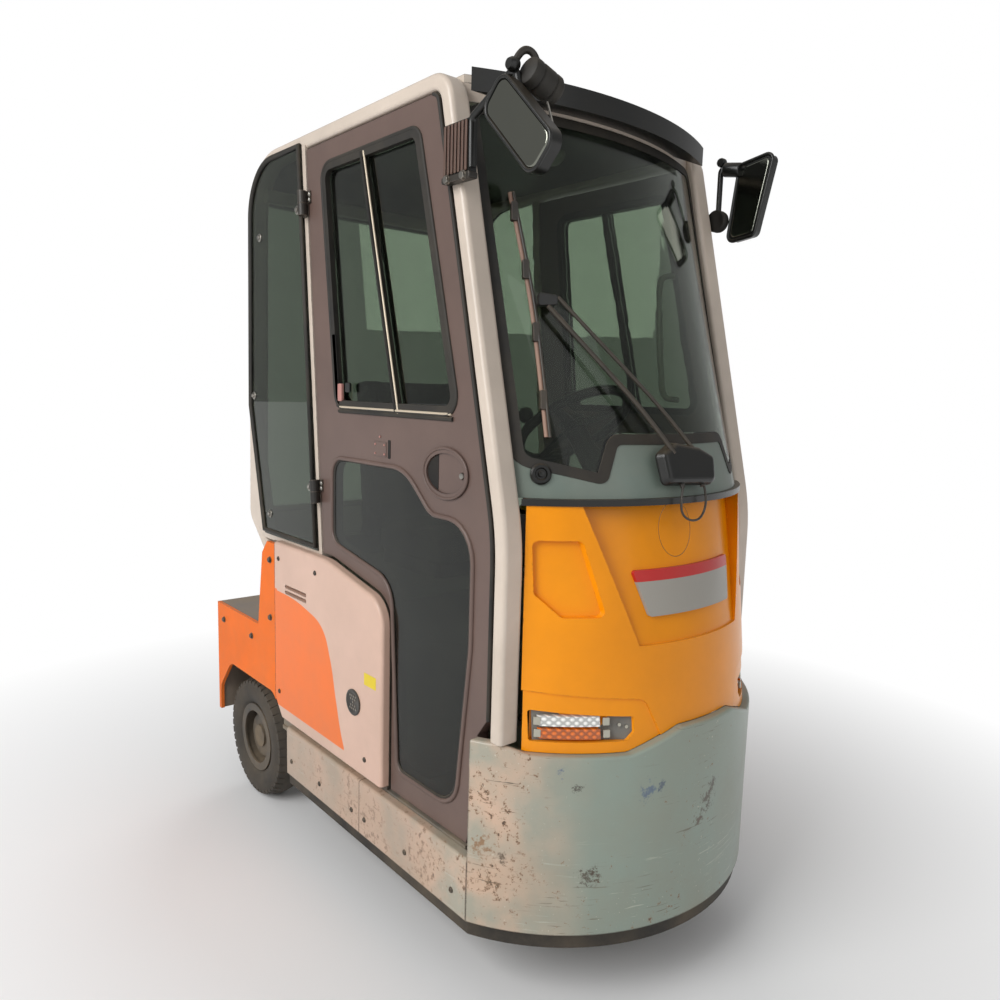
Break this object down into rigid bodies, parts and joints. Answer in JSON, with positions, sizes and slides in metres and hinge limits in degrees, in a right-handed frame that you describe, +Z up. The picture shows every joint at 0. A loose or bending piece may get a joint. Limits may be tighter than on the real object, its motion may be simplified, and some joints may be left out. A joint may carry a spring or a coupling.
{
  "type": "three-wheel electric tow tractor with a closed cab",
  "caption": "Small closed-cab electric baggage tug with doors, bowed windscreen, rounded nose, one steered front wheel, a flat rear deck and a pin coupling.",
  "frame": {"origin": "on the ground below the centre of the vehicle's box", "axes": "-Y points forward to the nose, +Z up, +X to the vehicle's left-hand side"},
  "size_m": [1.0146, 1.8999, 2.1579],
  "materials": {
    "frame_paint": "semi-gloss grey paint, worn",
    "bumper_paint": "light grey paint over thick plate, scratched and rusting",
    "pale_paint": "light silver grey paint",
    "orange_paint": "orange paint, faded",
    "door_brown": "brown paint, matt with age",
    "black_rubber": "black rubber",
    "tyre": "black tyre rubber, dusty",
    "battery_grey": "dark grey",
    "window_glass": "clear green-grey safety glass",
    "lamp_glass": "white and amber lamp lenses",
    "lamp_red": "red lamp lenses",
    "plate_grey": "blank grey plate",
    "black_plastic": "black grained plastic",
    "black_steel": "black painted steel",
    "seat_cloth": "dark seat cover",
    "cast_grey": "cast iron and grey paint",
    "rim_paint": "grey painted rim",
    "bare_steel": "bare steel"
  },
  "bodies": {
    "body": {"chassis": "frame_paint", "front_bumper": "bumper_paint", "bumper_skirt": "black_rubber", "sills": "bumper_paint", "rear_fenders": "orange_paint", "side_panels": "pale_paint", "battery": "battery_grey", "seat_console": "frame_paint", "rear_hood": "frame_paint", "rear_deck": "frame_paint", "cab_frame": "pale_paint", "quarter_windows": "window_glass", "rear_window": "window_glass", "roof": "pale_paint", "roof_visor": "black_plastic", "windscreen": "window_glass", "windscreen_seal": "black_rubber", "cowl": "pale_paint", "cowl_band": "black_plastic", "front_apron": "orange_paint", "front_plate": "plate_grey", "headlamps": "lamp_glass", "hinge_barrels": "black_steel", "dashboard": "black_plastic", "steering_column": "black_plastic", "seat_base": "black_steel", "seat_cushion": "seat_cloth", "seat_back": "seat_cloth", "rear_axle": "cast_grey", "tow_coupling": "black_steel", "rear_lamps": "lamp_red", "mirrors": "black_plastic"},
    "right_door": {"door_right": "door_brown", "door_windows_right": "black_rubber", "door_glass_right": "window_glass", "door_handle_right": "door_brown", "door_hinges_right": "black_steel"},
    "left_door": {"door_left": "door_brown", "door_windows_left": "black_rubber", "door_glass_left": "window_glass", "door_handle_left": "door_brown", "door_hinges_left": "black_steel"},
    "steering_fork": {"steer_fork": "black_steel"},
    "front_wheel": {"front_rim": "rim_paint", "front_tyre": "tyre"},
    "rear_right_wheel": {"rear_right_rim": "rim_paint", "rear_right_tyre": "tyre"},
    "rear_left_wheel": {"rear_left_rim": "rim_paint", "rear_left_tyre": "tyre"},
    "hand_wheel": {"steering_wheel": "black_plastic"},
    "drawbar_pin": {"coupling_pin": "bare_steel"}
  },
  "joints": [
    {"name": "right_door_swing", "type": "hinge", "parent": "body", "child": "right_door", "pos_m": [-0.485, 0.14543, 1.5], "axis": [0, -0.0844, -0.9964], "range_deg": [0, 90]},
    {"name": "left_door_swing", "type": "hinge", "parent": "body", "child": "left_door", "pos_m": [0.485, 0.14543, 1.5], "axis": [0, 0.0844, 0.9964], "range_deg": [0, 90]},
    {"name": "front_steer", "type": "hinge", "parent": "body", "child": "steering_fork", "pos_m": [0, -0.565, 0.48], "axis": [0, 0, 1], "range_deg": [-80, 80]},
    {"name": "front_wheel_spin", "type": "hinge", "parent": "steering_fork", "child": "front_wheel", "pos_m": [0, -0.565, 0.2085], "axis": [1, 0, 0], "continuous": true},
    {"name": "rear_right_spin", "type": "hinge", "parent": "body", "child": "rear_right_wheel", "pos_m": [-0.413, 0.611, 0.2085], "axis": [1, 0, 0], "continuous": true},
    {"name": "rear_left_spin", "type": "hinge", "parent": "body", "child": "rear_left_wheel", "pos_m": [0.413, 0.611, 0.2085], "axis": [1, 0, 0], "continuous": true},
    {"name": "hand_wheel_turn", "type": "hinge", "parent": "body", "child": "hand_wheel", "pos_m": [0, -0.45, 1.36], "axis": [0, 0.6157, 0.788], "range_deg": [-360, 360]},
    {"name": "pin_lift", "type": "slide", "parent": "body", "child": "drawbar_pin", "axis": [0, 0, 1], "range_m": [0, 0.115]}
  ],
  "couplings": [
    {"joint": "hand_wheel_turn", "follows": "front_steer", "ratio": 4.5}
  ]
}
